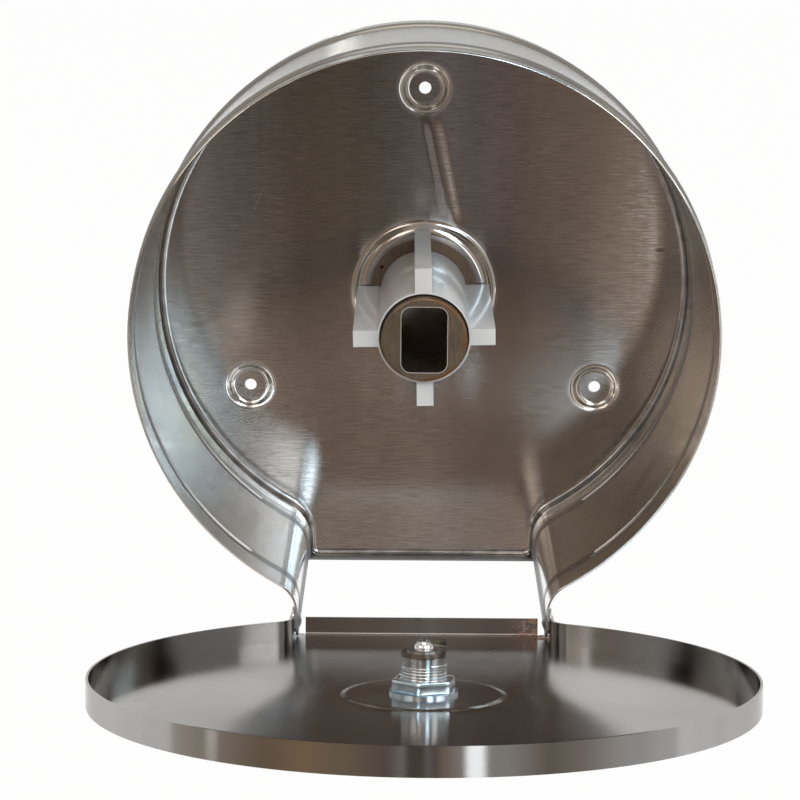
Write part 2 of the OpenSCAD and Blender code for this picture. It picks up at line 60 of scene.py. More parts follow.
# lamps: bearing and height in degrees seen from the drum, distance and size in metres
studioLamps = {
    "windowRight": {"bearing": 14, "height": -1, "away": 2.4, "size": (0.22, 1.20),
                    "watts": 1.5, "colour": (0.88, 0.95, 1.0)},
    "windowHigh": {"bearing": 21, "height": 33, "away": 2.6, "size": (0.60, 1.30),
                   "watts": 22, "colour": (0.62, 0.84, 1.0)},
    "lampLeft": {"bearing": -19, "height": 34, "away": 2.6, "size": (0.60, 1.30),
                 "watts": 3.4, "colour": (1.0, 0.90, 0.78)},
    "fillRight": {"bearing": 58, "height": 28, "away": 2.6, "size": (1.3, 1.3),
                  "watts": 20, "colour": (0.94, 0.97, 1.0)},
    "fillLeft": {"bearing": -52, "height": 30, "away": 2.6, "size": (1.2, 1.2),
                 "watts": 9, "colour": (1.0, 0.97, 0.93)},
    "windowLeft": {"bearing": -63, "height": 5, "away": 2.4, "size": (0.16, 1.2),
                   "watts": 0.6, "colour": (0.95, 0.97, 1.0)},
    "overhead": {"bearing": 0, "height": 78, "away": 2.1, "size": (1.4, 1.4),
                 "watts": 9, "colour": (1.0, 0.98, 0.95)},
    "stripBack": {"bearing": -173.3, "height": 9.4, "away": 3.2, "size": (0.012, 0.5),
                  "watts": 0.14, "colour": (1.0, 0.99, 0.96)},
}
lampTarget = (0, -0.08, -0.03)


def bearingPoint(bearing, height, away):
    # bearing 0 is straight out from the wall, positive to the viewer's right
    b, h = math.radians(bearing), math.radians(height)
    return Vector((math.sin(b) * math.cos(h), -math.cos(b) * math.cos(h), math.sin(h))) * away


def aimAt(obj, target):
    obj.rotation_euler = (Vector(target) - obj.location).to_track_quat("-Z", "Y").to_euler()


def addObject(name, data):
    obj = bpy.data.objects.new(name, data)
    scene.collection.objects.link(obj)
    return obj


def setCamera(view):
    data = bpy.data.cameras.new("photoCamera")
    camera = addObject("photoCamera", data)
    sp, cp = math.sin(view["pitch"]), math.cos(view["pitch"])
    sy, cy = math.sin(view["yaw"]), math.cos(view["yaw"])
    forward = Vector((sy * cp, cy * cp, -sp))
    right = Vector((cy, -sy, 0))
    up = right.cross(forward)
    cr, sr = math.cos(view["roll"]), math.sin(view["roll"])
    tiltedRight = right * cr + up * sr
    tiltedUp = up * cr - right * sr
    turn = Matrix((tiltedRight, tiltedUp, -forward)).transposed().to_4x4()
    camera.matrix_world = Matrix.Translation(view["place"]) @ turn
    data.sensor_width = view["sensorWidth"]
    data.lens = view["focalPixels"] / view["imagePixels"] * data.sensor_width
    data.shift_x = 0.5 - view["centrePixels"][0] / view["imagePixels"]
    data.shift_y = view["centrePixels"][1] / view["imagePixels"] - 0.5
    data.clip_end = view["reach"]
    scene.camera = camera


def setLamps(lamps, target):
    for name, lamp in lamps.items():
        data = bpy.data.lights.new(name, "AREA")
        data.shape = "RECTANGLE"
        data.size, data.size_y = lamp["size"]
        data.energy = lamp["watts"]
        data.color = lamp["colour"]
        obj = addObject(name, data)
        obj.location = bearingPoint(lamp["bearing"], lamp["height"], lamp["away"])
        aimAt(obj, target)


class Socket:
    # a node's socket that can stand in a Python expression
    def __init__(self, graph, out):
        self.graph, self.out = graph, out

    def maths(self, operation, a, b=0.0):
        return self.graph.add("ShaderNodeMath", {"operation": operation}, {0: a, 1: b})

    def __add__(self, other): return self.maths("ADD", self, other)
    def __radd__(self, other): return self.maths("ADD", other, self)
    def __sub__(self, other): return self.maths("SUBTRACT", self, other)
    def __rsub__(self, other): return self.maths("SUBTRACT", other, self)
    def __mul__(self, other): return self.maths("MULTIPLY", self, other)
    def __rmul__(self, other): return self.maths("MULTIPLY", other, self)
    def __abs__(self): return self.maths("ABSOLUTE", self)
    def least(self, other): return self.maths("MINIMUM", self, other)
    def most(self, other): return self.maths("MAXIMUM", self, other)


def setStops(ramp, stops):
    while len(ramp.elements) < len(stops):
        ramp.elements.new(0.5)
    for element, (at, colour) in zip(ramp.elements, stops):
        element.position = at
        element.color = (*colour, 1)


class Graph:
    # a node tree, with one method that adds any node to it
    def __init__(self, tree):
        self.tree = tree
        tree.nodes.clear()

    def add(self, kind, settings=None, sockets=None, out=0):
        node = self.tree.nodes.new(kind)
        for key, value in (settings or {}).items():
            if key == "stops":
                setStops(node.color_ramp, value)
            else:
                setattr(node, key, value)
        for key, value in (sockets or {}).items():
            for item in value if isinstance(value, list) else [value]:
                self.feed(node.inputs[key], item)
        return Socket(self, node.outputs[out] if node.outputs else None)

    def feed(self, inlet, item):
        # a colour gets its alpha
        if isinstance(item, Socket):
            self.tree.links.new(item.out, inlet)
        elif isinstance(item, tuple) and len(inlet.default_value) > len(item):
            inlet.default_value = (*item, 1)
        else:
            inlet.default_value = item

    def outlets(self, kind, names, sockets=None):
        # adds a node of which more than one output is used
        given = self.add(kind, None, sockets).out.node.outputs
        return [Socket(self, given[name]) for name in names]

    def axes(self, vector):
        return self.outlets("ShaderNodeSeparateXYZ", "XYZ", {0: vector})

    def join(self, x, y, z):
        return self.add("ShaderNodeCombineXYZ", None, {0: x, 1: y, 2: z})

    def along(self, vector, direction):
        # how far a point lies along a direction
        return self.add("ShaderNodeVectorMath", {"operation": "DOT_PRODUCT"},
                        {0: vector, 1: direction}, out="Value")

    def apart(self, vector, point=(0.0, 0.0, 0.0)):
        # how far a point lies from another
        return self.add("ShaderNodeVectorMath", {"operation": "DISTANCE"},
                        {0: vector, 1: point}, out="Value")

    def bearing(self, across, ahead):
        return self.add("ShaderNodeMath", {"operation": "ARCTAN2"}, {0: across, 1: ahead})

    def noise(self, place, scale, stretch=None, detail=3.0, rough=0.5, warp=0.0):
        if stretch:
            place = self.add("ShaderNodeVectorMath", {"operation": "MULTIPLY"}, {0: place, 1: stretch})
        return self.add("ShaderNodeTexNoise", None, {
            "Vector": place, "Scale": scale, "Detail": detail, "Roughness": rough, "Distortion": warp})

    def blend(self, factor, first, second):
        # mixes two colours
        return self.add("ShaderNodeMix", {"data_type": "RGBA"}, {0: factor, 6: first, 7: second}, out=2)

    def step(self, value, low, high):
        # 0 below low, 1 above high, smooth between
        return self.add("ShaderNodeMapRange", {"interpolation_type": "SMOOTHSTEP"},
                        {0: value, 1: low, 2: high, 3: 0.0, 4: 1.0})

    def below(self, value, low, high):
        # 1 below low, 0 above high
        return 1.0 - self.step(value, low, high)

    def spotMask(self, vector, point, radius):
        # 1 inside a small round spot, with a soft edge
        softFrom = 0.55
        return self.below(self.apart(vector, point), radius * softFrom, radius)

    def bump(self, height, strength, distance, under=None):
        sockets = {"Strength": strength, "Distance": distance, "Height": height}
        if under:
            sockets["Normal"] = under
        return self.add("ShaderNodeBump", None, sockets)


class Paint(Graph):
    # one material
    def __init__(self, name):
        self.material = bpy.data.materials.new(name)
        self.material.use_nodes = True
        super().__init__(self.material.node_tree)
        self.spot = self.add("ShaderNodeTexCoord", out="Object")

    def tone(self, value, sizes):
        # a colour that wanders between dark and light
        return self.blend(self.step(value, *sizes["toneLimits"]), sizes["dark"], sizes["light"])

    def finish(self, colour, roughness, normal, **constants):
        sockets = {"Base Color": colour, "Roughness": roughness, "Normal": normal}
        for key, value in constants.items():
            sockets[key.replace("_", " ")] = value
        shader = self.add("ShaderNodeBsdfPrincipled", None, sockets)
        self.add("ShaderNodeOutputMaterial", None, {0: shader})
        return self.material


# the room: pale behind the object; in front it changes with the bearing in degrees
room = {
    "behind": (0.66, 0.66, 0.65),
    "behindFrom": (-0.15, 0.15),
    "ground": (0.36, 0.30, 0.26),
    "groundHeights": (-0.33, -0.20),
    "groundGain": 2.4,  # the bands go on down to the ground, brighter
    "groundShare": 0.5,
    "ceiling": (0.56, 0.44, 0.36),
    "ceilingHeights": (0.30, 0.55),
    "leastDepth": 0.001,  # keeps a bearing for what is straight to the side
    # straight in front, where the plate's narrow bands come from
    "frontSpread": 18,
    "frontSeam": 0.002,  # radians
    "front": [
        (-9.0, (0.22, 0.19, 0.18)), (-8.2, (0.26, 0.24, 0.23)), (-6.5, (0.34, 0.33, 0.33)),
        (-5.5, (0.13, 0.11, 0.095)), (-3.5, (0.10, 0.08, 0.068)), (-2.0, (0.16, 0.13, 0.10)),
        (-1.62, (0.055, 0.05, 0.05)), (-1.15, (0.055, 0.05, 0.05)), (-0.75, (0.17, 0.135, 0.085)),
        (-0.1, (0.15, 0.125, 0.10)), (0.35, (0.17, 0.16, 0.165)), (0.65, (0.15, 0.13, 0.13)),
        (0.9, (0.48, 0.52, 0.58)), (1.15, (0.14, 0.12, 0.12)), (1.5, (0.14, 0.12, 0.12)),
        (1.75, (0.24, 0.23, 0.24)), (2.1, (0.15, 0.12, 0.11)), (2.8, (0.15, 0.115, 0.10)),
        (4.4, (0.19, 0.145, 0.12)), (5.2, (0.26, 0.21, 0.165)), (7.0, (0.29, 0.23, 0.18)),
        (9.0, (0.34, 0.30, 0.27)),
    ],
    "sidesSpread": 180,
    "sides": [
        (-90, (0.60, 0.57, 0.53)), (-74, (0.50, 0.44, 0.38)), (-52, (0.27, 0.20, 0.14)),
        (-38, (0.33, 0.22, 0.14)), (-25, (0.26, 0.20, 0.14)), (-12, (0.17, 0.13, 0.11)),
        (-9, (0.22, 0.19, 0.18)), (9.0, (0.34, 0.30, 0.27)), (26, (0.46, 0.44, 0.41)),
        (39, (0.28, 0.24, 0.20)), (52, (0.42, 0.38, 0.34)), (66, (0.66, 0.66, 0.66)),
    ],
}


def setWorld(sizes):
    world = bpy.data.worlds.new("studioWorld")
    scene.world = world
    world.use_nodes = True
    graph = Graph(world.node_tree)
    x, y, z = graph.axes(graph.add("ShaderNodeTexCoord", out="Generated"))
    bearing = graph.bearing(x, abs(y).most(sizes["leastDepth"]))
    bands = []
    for part in ("front", "sides"):
        spread = sizes[part + "Spread"]
        stops = [(0.5 + degrees / spread, colour) for degrees, colour in sizes[part]]
        turned = bearing * (1 / math.radians(spread)) + 0.5
        bands.append(graph.add("ShaderNodeValToRGB", {"stops": stops}, {0: turned}))
    edge = math.radians(sizes["frontSpread"] / 2)
    colour = graph.blend(graph.step(abs(bearing), edge - sizes["frontSeam"], edge), *bands)
    low = graph.add("ShaderNodeVectorMath", {"operation": "SCALE"}, {0: colour, "Scale": sizes["groundGain"]})
    low = graph.blend(sizes["groundShare"], low, sizes["ground"])
    colour = graph.blend(graph.below(z, *sizes["groundHeights"]), colour, low)
    colour = graph.blend(graph.step(z, *sizes["ceilingHeights"]), colour, sizes["ceiling"])
    colour = graph.blend(graph.step(y, *sizes["behindFrom"]), colour, sizes["behind"])
    sky = graph.add("ShaderNodeBackground", None, {0: colour, 1: 1.0})
    graph.add("ShaderNodeOutputWorld", None, {0: sky})


# the floor ends just in front of the object, so the metal's front faces see the room
studioFloor = {
    "halfWidth": 40.0,
    "front": -0.5,
    "back": 60.0,
    "height": -0.75,
    "cardColour": (0.86, 0.86, 0.86),
    "glowColour": (1.0, 1.0, 1.0),
    "glowShare": 0.97,
}


def paleFloor(name, sizes):
    # seen white directly and in the metal, with a faint shadow left in it
    paint = Paint(name)
    camera, glossy, through = paint.outlets(
        "ShaderNodeLightPath", ("Is Camera Ray", "Is Glossy Ray", "Is Transmission Ray"))
    seen = camera.most(glossy).most(through)
    card = paint.add("ShaderNodeBsdfDiffuse", None, {"Color": sizes["cardColour"]})
    glow = paint.add("ShaderNodeEmission", None, {"Color": sizes["glowColour"], "Strength": 1.0})
    mixed = paint.add("ShaderNodeMixShader", None, {0: seen * sizes["glowShare"], 1: card, 2: glow})
    paint.add("ShaderNodeOutputMaterial", None, {0: mixed})
    return paint.material


def layFloor(sizes):
    wide, front, back, height = (sizes[key] for key in ("halfWidth", "front", "back", "height"))
    corners = [(-wide, front, height), (wide, front, height), (wide, back, height), (-wide, back, height)]
    mesh = bpy.data.meshes.new("studioFloor")
    mesh.from_pydata(corners, [], [(0, 1, 2, 3)])
    mesh.materials.append(paleFloor("paleFloor", sizes))
    floor = addObject("studioFloor", mesh)


# finishes: a pattern is stretched along x, y and z, and a pair of limits is where a soft step
# starts and ends; the places and widths of marks are in metres

# the back plate's sheet, its grain lying across
plateSheet = {
    "dark": (0.42, 0.385, 0.355),
    "light": (0.62, 0.58, 0.55),
    "toneLimits": (0.34, 0.66),
    # the vertical streaks are partly the sheet's own tone and partly painted reflection streaks
    "streak": {"scale": 1.6, "stretch": (9.0, 1.0, 0.9), "rough": 0.55, "warp": 0.3},
    "streakShare": 0.6,
    "cloud": {"scale": 9.0},
    "cloudShare": 0.4,
    "lines": {"scale": 260.0, "stretch": (0.35, 1.0, 5.5), "detail": 4.0, "rough": 0.75},
    "lineColour": (0.26, 0.235, 0.215),
    "lineLimits": (0.38, 0.66),
    "lineStrength": 0.46,
    "grain": {"scale": 260.0, "stretch": (0.08, 1.0, 8.0), "rough": 0.6},
    "grainHeight": 0.00010,
    "grainStrength": 0.22,
    "roughness": 0.068,
    "lineRoughness": 0.02,
    "cloudRoughness": 0.01,
    "anisotropy": 1.0,
    "grainTurn": 0.25,  # of a whole turn
    # the slopes of the boss and the dishes, where pressing has smoothed the grain; their colour is lightened
    # there as a painted highlight
    "bossRadii": (0.0290, 0.0370),
    "dishRadii": (0.0075, 0.0130),
    "dishAt": [(0.0, 0.102), (-0.0883, -0.051), (0.0883, -0.051)],
    "slopeEdge": 0.001,
    "slopeHighlightColour": (0.92, 0.91, 0.89),
    "slopeHighlightStrength": 0.5,
    "slopeSmoothing": 0.8,
    "scratchAt": (-0.0826, 0.0459),
    "scratchSquare": (0.912, 0.411),
    "scratchWidth": (0.0001, 0.0004),
    "scratchHeight": (0.004, 0.006),
    "scratchColour": (0.80, 0.79, 0.77),
    "scratchStrength": 0.35,
    "markAt": (0.1186, 0.0218),
    "markNarrowing": 0.35,
    "markRadii": (0.0006, 0.0012),
    "markColour": (0.12, 0.10, 0.09),
    "markStrength": 0.6,
    "speck": {"scale": 420.0, "detail": 2.0},
    "speckLimits": (0.76, 0.80),
    "speckColour": (0.05, 0.04, 0.03),
    "speckStrength": 0.5,
    # a low ridge that the pressings have drawn from the top dish to the boss
    "ridgeTop": (0.0031, 0.0881),
    "ridgeLean": 0.21,
    "ridgeWidth": 0.0062,
    "ridgeLow": (0.030, 0.042),
    "ridgeHigh": (0.080, 0.092),
    "ridgeShare": 3.0,
    "waves": {"scale": 9.0, "stretch": (2.0, 1.0, 0.7), "detail": 2.0},
    "waveShare": 0.6,
    "waveHeight": 0.00010,
}


def pressedSlopes(paint, flat, sizes):
    # 1 on the slopes of the boss and the three dishes
    edge = sizes["slopeEdge"]
    slopes = 0.0
    spots = [((0.0, 0.0), sizes["bossRadii"])] + [(at, sizes["dishRadii"]) for at in sizes["dishAt"]]
    for (atX, atZ), (inner, outer) in spots:
        away = paint.apart(flat, (atX, 0.0, atZ))
        slope = paint.step(away, inner - edge, inner + edge)
        slopes = slopes + slope * paint.below(away, outer - edge, outer + edge * 2)
    return slopes.least(1.0)


def speckle(paint, colour, sizes):
    speck = paint.step(paint.noise(paint.spot, **sizes["speck"]), *sizes["speckLimits"])
    return paint.blend(speck * sizes["speckStrength"], colour, sizes["speckColour"])


def brushedPlate(name, sizes):
    paint = Paint(name)
    x, _, z = paint.axes(paint.spot)
    slopes = pressedSlopes(paint, paint.join(x, 0.0, z), sizes)
    grain = paint.noise(paint.spot, **sizes["grain"])
    lines = paint.noise(paint.spot, **sizes["lines"])
    streak = paint.noise(paint.spot, **sizes["streak"])
    cloud = paint.noise(paint.spot, **sizes["cloud"])
    # the vertical streaks in this tone are partly the sheet's own tone and partly painted reflection streaks
    colour = paint.tone(streak * sizes["streakShare"] + cloud * sizes["cloudShare"], sizes)
    darkLines = paint.step(lines, *sizes["lineLimits"]) * sizes["lineStrength"]
    colour = paint.blend(darkLines, colour, sizes["lineColour"])
    # the slopes of the boss and the dishes are lightened: a painted highlight
    colour = paint.blend(slopes * sizes["slopeHighlightStrength"], colour, sizes["slopeHighlightColour"])

    # a scratch and a dark mark
    atX, atZ = sizes["scratchAt"]
    squareX, squareZ = sizes["scratchSquare"]
    scratch = paint.below(abs((x - atX) * squareX - (z - atZ) * squareZ), *sizes["scratchWidth"])
    scratch = scratch * paint.below(abs(z - atZ), *sizes["scratchHeight"])
    colour = paint.blend(scratch * sizes["scratchStrength"], colour, sizes["scratchColour"])
    atX, atZ = sizes["markAt"]
    narrowing = sizes["markNarrowing"]
    away = paint.apart(paint.join(x * narrowing, 0.0, z), (atX * narrowing, 0.0, atZ))
    mark = paint.below(away, *sizes["markRadii"])
    colour = paint.blend(mark * sizes["markStrength"], colour, sizes["markColour"])
    colour = speckle(paint, colour, sizes)

    topX, topZ = sizes["ridgeTop"]
    besides = x - topX - (topZ - z) * sizes["ridgeLean"]
    ridge = paint.below(abs(besides), 0.0, sizes["ridgeWidth"])
    ridge = ridge * paint.step(z, *sizes["ridgeLow"]) * paint.below(z, *sizes["ridgeHigh"])
    waves = paint.noise(paint.spot, **sizes["waves"])
    wavy = paint.bump(waves * sizes["waveShare"] + ridge * sizes["ridgeShare"], 1.0, sizes["waveHeight"])
    brushed = grain * (1.0 - slopes * sizes["slopeSmoothing"])
    normal = paint.bump(brushed, sizes["grainStrength"], sizes["grainHeight"], wavy)
    roughness = sizes["roughness"] + lines * sizes["lineRoughness"] + cloud * sizes["cloudRoughness"]
    return paint.finish(colour, roughness, normal, Metallic=1.0,
                        Anisotropic=sizes["anisotropy"], Anisotropic_Rotation=sizes["grainTurn"])


# the drum wall's sheet: its stretches are round the drum and along its depth
wallSheet = {
    "dark": (0.46, 0.455, 0.45),
    "light": (0.60, 0.60, 0.60),
    "toneLimits": (0.34, 0.66),
    "streak": {"scale": 2.6, "stretch": (0.9, 3.5, 1.0)},
    "streakShare": 0.5,
    "cloud": {"scale": 9.0},
    "cloudShare": 0.5,
    "grain": {"scale": 300.0, "stretch": (0.05, 3.8, 1.0), "detail": 5.0, "rough": 0.75},
    "grainHeight": 0.00010,
    "grainStrength": 0.5,
    "lineColour": (0.38, 0.37, 0.36),
    "lineLimits": (0.40, 0.66),
    "lineStrength": 0.45,
    "roughness": 0.085,
    "grainRoughness": 0.04,
    "cloudRoughness": 0.02,
    "patch": {"scale": 17.0, "detail": 2.0, "warp": 0.4},
    "patchColour": (0.56, 0.52, 0.41),
    "patchLimits": (0.44, 0.62),
    "patchStrength": 0.6,
    "lowReflectionColour": (0.92, 0.93, 0.93),
    "lowReflectionHeights": (-0.122, -0.070),
    "beadAt": (-0.094, -0.0226),
    "beadWidth": (0.0026, 0.0042),
    "beadShadeColour": (0.22, 0.21, 0.20),
    "beadShadeStrength": 0.75,
    "beadRoughness": 0.16,
    "neckShadeColour": (0.20, 0.20, 0.21),
    "neckHeights": (-0.134, -0.126),
    "neckShadeStrength": 0.8,
    "neckRoughness": 0.45,
    "insideRadii": (0.1343, 0.1347),
    "waves": {"scale": 15.0, "stretch": (1.0, 2.4, 1.0), "detail": 2.0, "warp": 0.6},
    "waveHeight": 0.0004,
}


def brushedWall(name, sizes):
    # the grain follows the sheet round the drum
    paint = Paint(name)
    x, y, z = paint.axes(paint.spot)
    unrolled = paint.join(paint.bearing(x, z), y, 0.0)
    grain = paint.noise(unrolled, **sizes["grain"])
    streak = paint.noise(unrolled, **sizes["streak"])
    cloud = paint.noise(paint.spot, **sizes["cloud"])
    colour = paint.tone(streak * sizes["streakShare"] + cloud * sizes["cloudShare"], sizes)
    darkLines = paint.step(grain, *sizes["lineLimits"]) * sizes["lineStrength"]
    colour = paint.blend(darkLines, colour, sizes["lineColour"])
    patch = paint.step(paint.noise(paint.spot, **sizes["patch"]), *sizes["patchLimits"])
    colour = paint.blend(patch * sizes["patchStrength"], colour, sizes["patchColour"])
    # the lower part of the wall is lightened: a painted reflection
    colour = paint.blend(paint.below(z, *sizes["lowReflectionHeights"]), colour, sizes["lowReflectionColour"])

    # dull lines on the beads and the neck's edges; their darker colour is painted shade
    dull = 0.0
    for beadAt in sizes["beadAt"]:
        bead = paint.below(abs(y - beadAt), *sizes["beadWidth"])
        colour = paint.blend(bead * sizes["beadShadeStrength"], colour, sizes["beadShadeColour"])
        dull = dull + bead * sizes["beadRoughness"]
    neck = paint.below(z, *sizes["neckHeights"])
    colour = paint.blend(neck * sizes["neckShadeStrength"], colour, sizes["neckShadeColour"])
    dull = dull + neck * sizes["neckRoughness"]

    # only the inside of the wall is wavy
    inside = paint.below(paint.apart(paint.join(x, 0.0, z)), *sizes["insideRadii"])
    waves = paint.noise(paint.spot, **sizes["waves"])
    wavy = paint.bump(waves * inside, 1.0, sizes["waveHeight"])
    normal = paint.bump(grain, sizes["grainStrength"], sizes["grainHeight"], wavy)
    roughness = sizes["roughness"] + grain * sizes["grainRoughness"] + cloud * sizes["cloudRoughness"] + dull
    return paint.finish(colour, roughness, normal, Metallic=1.0)


# the lid's sheet: each stain has its place, radius and strength
lidSheet = {
    "dark": (0.33, 0.32, 0.31),
    "light": (0.47, 0.46, 0.45),
    "toneLimits": (0.36, 0.66),
    "streak": {"scale": 1.7, "stretch": (9.0, 1.2, 1.0), "warp": 0.2},
    "streakShare": 0.6,
    "cloud": {"scale": 11.0},
    "cloudShare": 0.4,
    "grain": {"scale": 280.0, "stretch": (0.30, 5.0, 5.0), "detail": 4.0, "rough": 0.7},
    "grainHeight": 0.00004,
    "grainStrength": 0.30,
    "roughness": 0.085,
    "grainRoughness": 0.04,
    "cloudRoughness": 0.03,
    "mirrorTint": (0.78, 0.77, 0.76),
    "anisotropy": 0.9,
    "grainTurn": 0.25,  # of a whole turn
    "speck": {"scale": 380.0, "detail": 2.0},
    "speckLimits": (0.74, 0.80),
    "speckColour": (0.05, 0.04, 0.03),
    "speckStrength": 0.5,
    "blotch": {"scale": 240.0, "detail": 4.0, "rough": 0.65},
    "stainColour": (0.13, 0.085, 0.05),
    "stainLimits": (0.42, 0.62),
    "stains": [
        ((0.0953, -0.164, -0.1298), 0.0060, 0.55),
        ((-0.1142, -0.2525, -0.1069), 0.0035, 0.45),
        ((-0.1225, -0.2371, -0.1109), 0.0030, 0.40),
        ((-0.1062, -0.2672, -0.1031), 0.0022, 0.45),
    ],
    # rust at the right end of the tab
    "rustColour": (0.33, 0.12, 0.03),
    "rustLimits": (0.38, 0.62),
    "rustDepths": (-0.1125, -0.1085),
    "rustAcross": (0.038, 0.054),
    "rustStrength": 0.85,
    "rustRoughness": 0.3,
    # the rim's bright top edge above the lock's seat, a painted highlight
    "edgeHighlightColour": (0.80, 0.80, 0.80),
    "edgeHighlightHeights": (0.0094, 0.0098),
    "edgeHighlightStrength": 0.8,
    "waves": {"scale": 8.0, "detail": 2.0},
    "waveHeight": 0.0005,
}


def brushedLidSheet(name, sizes):
    up, seat = lockPlace()
    paint = Paint(name)
    x, y, _ = paint.axes(paint.spot)
    grain = paint.noise(paint.spot, **sizes["grain"])
    streak = paint.noise(paint.spot, **sizes["streak"])
    cloud = paint.noise(paint.spot, **sizes["cloud"])
    blotch = paint.noise(paint.spot, **sizes["blotch"])
    colour = paint.tone(streak * sizes["streakShare"] + cloud * sizes["cloudShare"], sizes)
    colour = speckle(paint, colour, sizes)
    blotches = paint.step(blotch, *sizes["stainLimits"])
    for place, radius, strength in sizes["stains"]:
        stain = paint.spotMask(paint.spot, place, radius) * blotches
        colour = paint.blend(stain * strength, colour, sizes["stainColour"])
    rust = paint.step(y, *sizes["rustDepths"]) * paint.step(x, *sizes["rustAcross"])
    rust = rust * paint.step(blotch, *sizes["rustLimits"])
    colour = paint.blend(rust * sizes["rustStrength"], colour, sizes["rustColour"])
    height = paint.along(paint.spot, tuple(up)) - up.dot(seat)
    # the rim's top edge is lightened: a painted highlight
    edge = paint.step(height, *sizes["edgeHighlightHeights"])
    colour = paint.blend(edge * sizes["edgeHighlightStrength"], colour, sizes["edgeHighlightColour"])
    wavy = paint.bump(paint.noise(paint.spot, **sizes["waves"]), 1.0, sizes["waveHeight"])
    normal = paint.bump(grain, sizes["grainStrength"], sizes["grainHeight"], wavy)
    roughness = sizes["roughness"] + grain * sizes["grainRoughness"] + cloud * sizes["cloudRoughness"]
    roughness = roughness + rust * sizes["rustRoughness"]
    return paint.finish(colour, roughness, normal, Metallic=1.0, Specular_Tint=sizes["mirrorTint"],
                        Anisotropic=sizes["anisotropy"], Anisotropic_Rotation=sizes["grainTurn"])


# the spindle's brownish steel, its slot and the two dots on the foot ring
spindleSteel = {
    "dark": (0.165, 0.125, 0.088),
    "light": (0.240, 0.185, 0.130),
    "toneLimits": (0.3, 0.7),
    "grain": {"scale": 300.0, "stretch": (6.0, 1.0, 0.6), "rough": 0.6},
    "grainHeight": 0.00003,
    "grainStrength": 0.3,
    "roughness": 0.42,
    "metallic": 0.85,
    "cloud": {"scale": 130.0, "detail": 4.0, "rough": 0.6},
    "cloudColour": (0.10, 0.07, 0.045),
    "cloudLimits": (0.45, 0.75),
    "cloudStrength": 0.4,
    # rust comes in from the outside and from the right; these are in millimetres
    "rustColour": (0.26, 0.105, 0.030),
    "rustFromAxis": (20.4, 23.0),
    "rustAxisSpread": 6.0,
    "rustAcross": (-4.0, 18.0),
    "rustAcrossSpread": 16.0,
    "rustRoughness": 0.35,
    "dots": [((-0.0214, -0.0081, 0.0178), 0.0009), ((-0.0209, -0.0081, 0.0132), 0.0013)],
    "dotColour": (0.03, 0.02, 0.015),
    "slot": (0.0213, 0.0312, 0.0045),
    "slotHighlightColour": (0.80, 0.76, 0.70),
    "slotHighlightEdge": (0.0002, 0.0004),
    "slotDepths": (-0.0958, -0.0956),
}


def wornSpindleSteel(name, sizes, rustStrength):
    paint = Paint(name)
    x, y, z = paint.axes(paint.spot)
    grain = paint.noise(paint.spot, **sizes["grain"])
    cloud = paint.noise(paint.spot, **sizes["cloud"])
    millimetres = 1000.0
    fromAxis = paint.apart(paint.join(x, 0.0, z)) * millimetres
    rust = paint.step(fromAxis + cloud * sizes["rustAxisSpread"], *sizes["rustFromAxis"])
    rust = rust * paint.step(x * millimetres + cloud * sizes["rustAcrossSpread"], *sizes["rustAcross"])
    colour = paint.tone(grain, sizes)
    darkClouds = paint.step(cloud, *sizes["cloudLimits"]) * sizes["cloudStrength"]
    colour = paint.blend(darkClouds, colour, sizes["cloudColour"])
    colour = paint.blend(rust * rustStrength, colour, sizes["rustColour"])
    for place, radius in sizes["dots"]:
        colour = paint.blend(paint.spotMask(paint.spot, place, radius), colour, sizes["dotColour"])

    # the slot's cut edge is made bright: a painted highlight
    wide, tall, corner = sizes["slot"]
    overX = (abs(x) - (wide / 2 - corner)).most(0.0)
    overZ = (abs(z) - (tall / 2 - corner)).most(0.0)
    fromSlot = paint.apart(paint.join(overX, 0.0, overZ)) - corner
    slotHighlightEdge = paint.below(fromSlot, *sizes["slotHighlightEdge"]) * paint.below(y, *sizes["slotDepths"])
    colour = paint.blend(slotHighlightEdge, colour, sizes["slotHighlightColour"])
    normal = paint.bump(grain, sizes["grainStrength"], sizes["grainHeight"])
    roughness = sizes["roughness"] + rust * (sizes["rustRoughness"] * rustStrength)
    return paint.finish(colour, roughness, normal, Metallic=sizes["metallic"])


# the moulded plastic of the adaptor
adaptorSheath = {
    "dark": (0.67, 0.67, 0.665),
    "light": (0.76, 0.76, 0.755),
    "toneLimits": (0.35, 0.7),
    "cloud": {"scale": 30.0},
    "grain": {"scale": 900.0, "rough": 0.6},
    "grainHeight": 0.00005,
    "grainStrength": 0.15,
    "roughness": 0.30,
    "grainRoughness": 0.1,
    "coat": 0.5,
    "coatRoughness": 0.1,
}


def adaptorPlastic(name, sizes):
    paint = Paint(name)
    colour = paint.tone(paint.noise(paint.spot, **sizes["cloud"]), sizes)
    grain = paint.noise(paint.spot, **sizes["grain"])
    normal = paint.bump(grain, sizes["grainStrength"], sizes["grainHeight"])
    return paint.finish(colour, sizes["roughness"] + grain * sizes["grainRoughness"], normal, Metallic=0.0,
                        Coat_Weight=sizes["coat"], Coat_Roughness=sizes["coatRoughness"])


